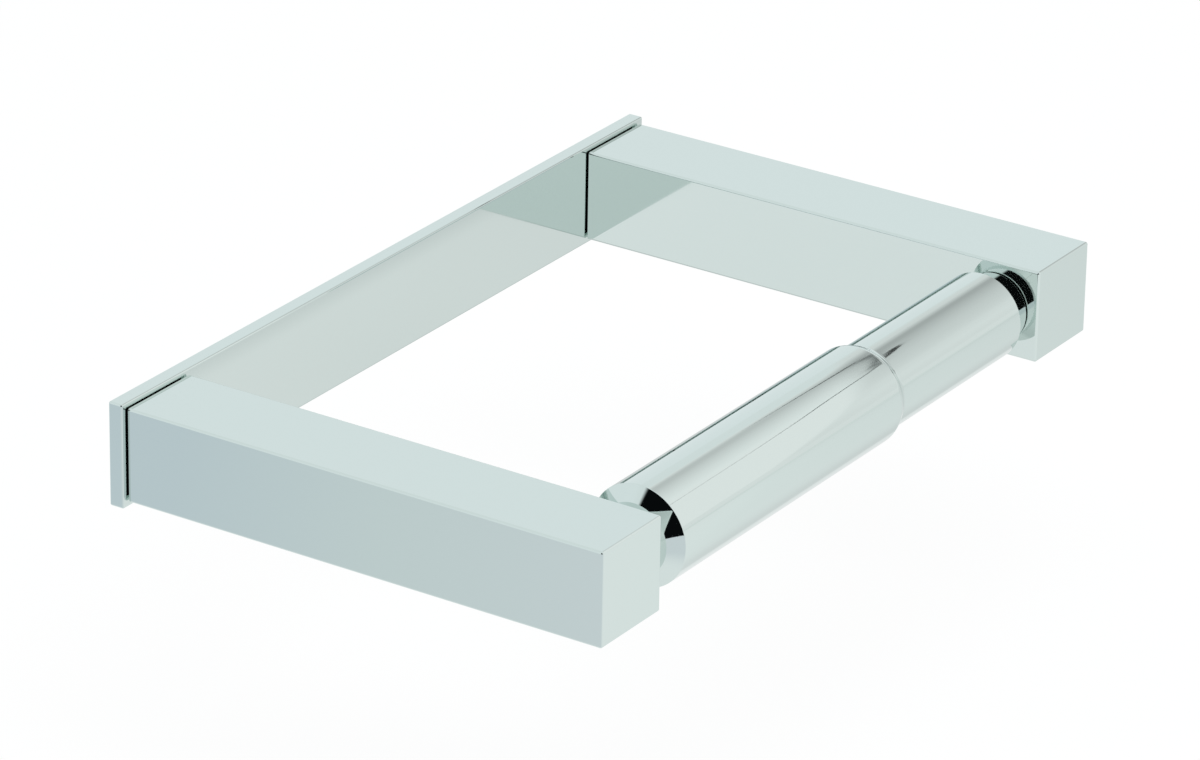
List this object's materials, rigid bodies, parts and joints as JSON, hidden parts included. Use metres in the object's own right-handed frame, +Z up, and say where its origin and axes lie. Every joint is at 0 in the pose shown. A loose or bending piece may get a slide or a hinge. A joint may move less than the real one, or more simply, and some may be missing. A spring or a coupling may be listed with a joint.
{
  "type": "toilet roll holder",
  "caption": "Wall-mounted toilet roll holder in chrome: a flat wall plate, square arms and a sprung telescopic roller that turns between them.",
  "frame": {"origin": "the middle of the wall plate's back face, which lies on the wall", "axes": "+X along the wall plate towards the arm on the roller's narrower half, +Y into the wall, +Z up"},
  "size_m": [0.165, 0.1031, 0.02],
  "materials": {
    "plate_chrome": "mirror-polished chrome plate",
    "arm_chrome": "mirror-polished chrome plate",
    "bush_chrome": "bright chrome plate",
    "roller_chrome": "mirror-polished chrome plate",
    "block_brass": "machined brass",
    "screw_steel": "plain turned steel",
    "spring_steel": "bright spring wire",
    "guide_nylon": "moulded nylon"
  },
  "bodies": {
    "frame": {"back_plate": "plate_chrome", "left_fixing_block": "block_brass", "right_fixing_block": "block_brass", "left_upper_block_screw": "screw_steel", "left_lower_block_screw": "screw_steel", "right_upper_block_screw": "screw_steel", "right_lower_block_screw": "screw_steel", "left_grub_screw": "screw_steel", "right_grub_screw": "screw_steel", "left_arm": "arm_chrome", "right_arm": "arm_chrome", "left_arm_cap": "arm_chrome", "right_arm_cap": "arm_chrome", "left_pin_bush": "bush_chrome", "right_pin_bush": "bush_chrome"},
    "roller_outer": {"roller_outer_tube": "roller_chrome", "roller_outer_cap": "roller_chrome", "roller_spring": "spring_steel"},
    "roller_inner": {"roller_inner_tube": "roller_chrome", "roller_inner_cap": "roller_chrome", "roller_guide_plug": "guide_nylon"}
  },
  "joints": [
    {"name": "roller_spin", "type": "hinge", "parent": "frame", "child": "roller_outer", "pos_m": [0, -0.0935, 0], "axis": [1, 0, 0], "continuous": true},
    {"name": "roller_compress", "type": "slide", "parent": "roller_outer", "child": "roller_inner", "axis": [-1, 0, 0], "range_m": [0, 0.008], "stiffness_N_per_m": 250, "springref_m": -0.003, "deforming": ["roller_spring"]}
  ]
}
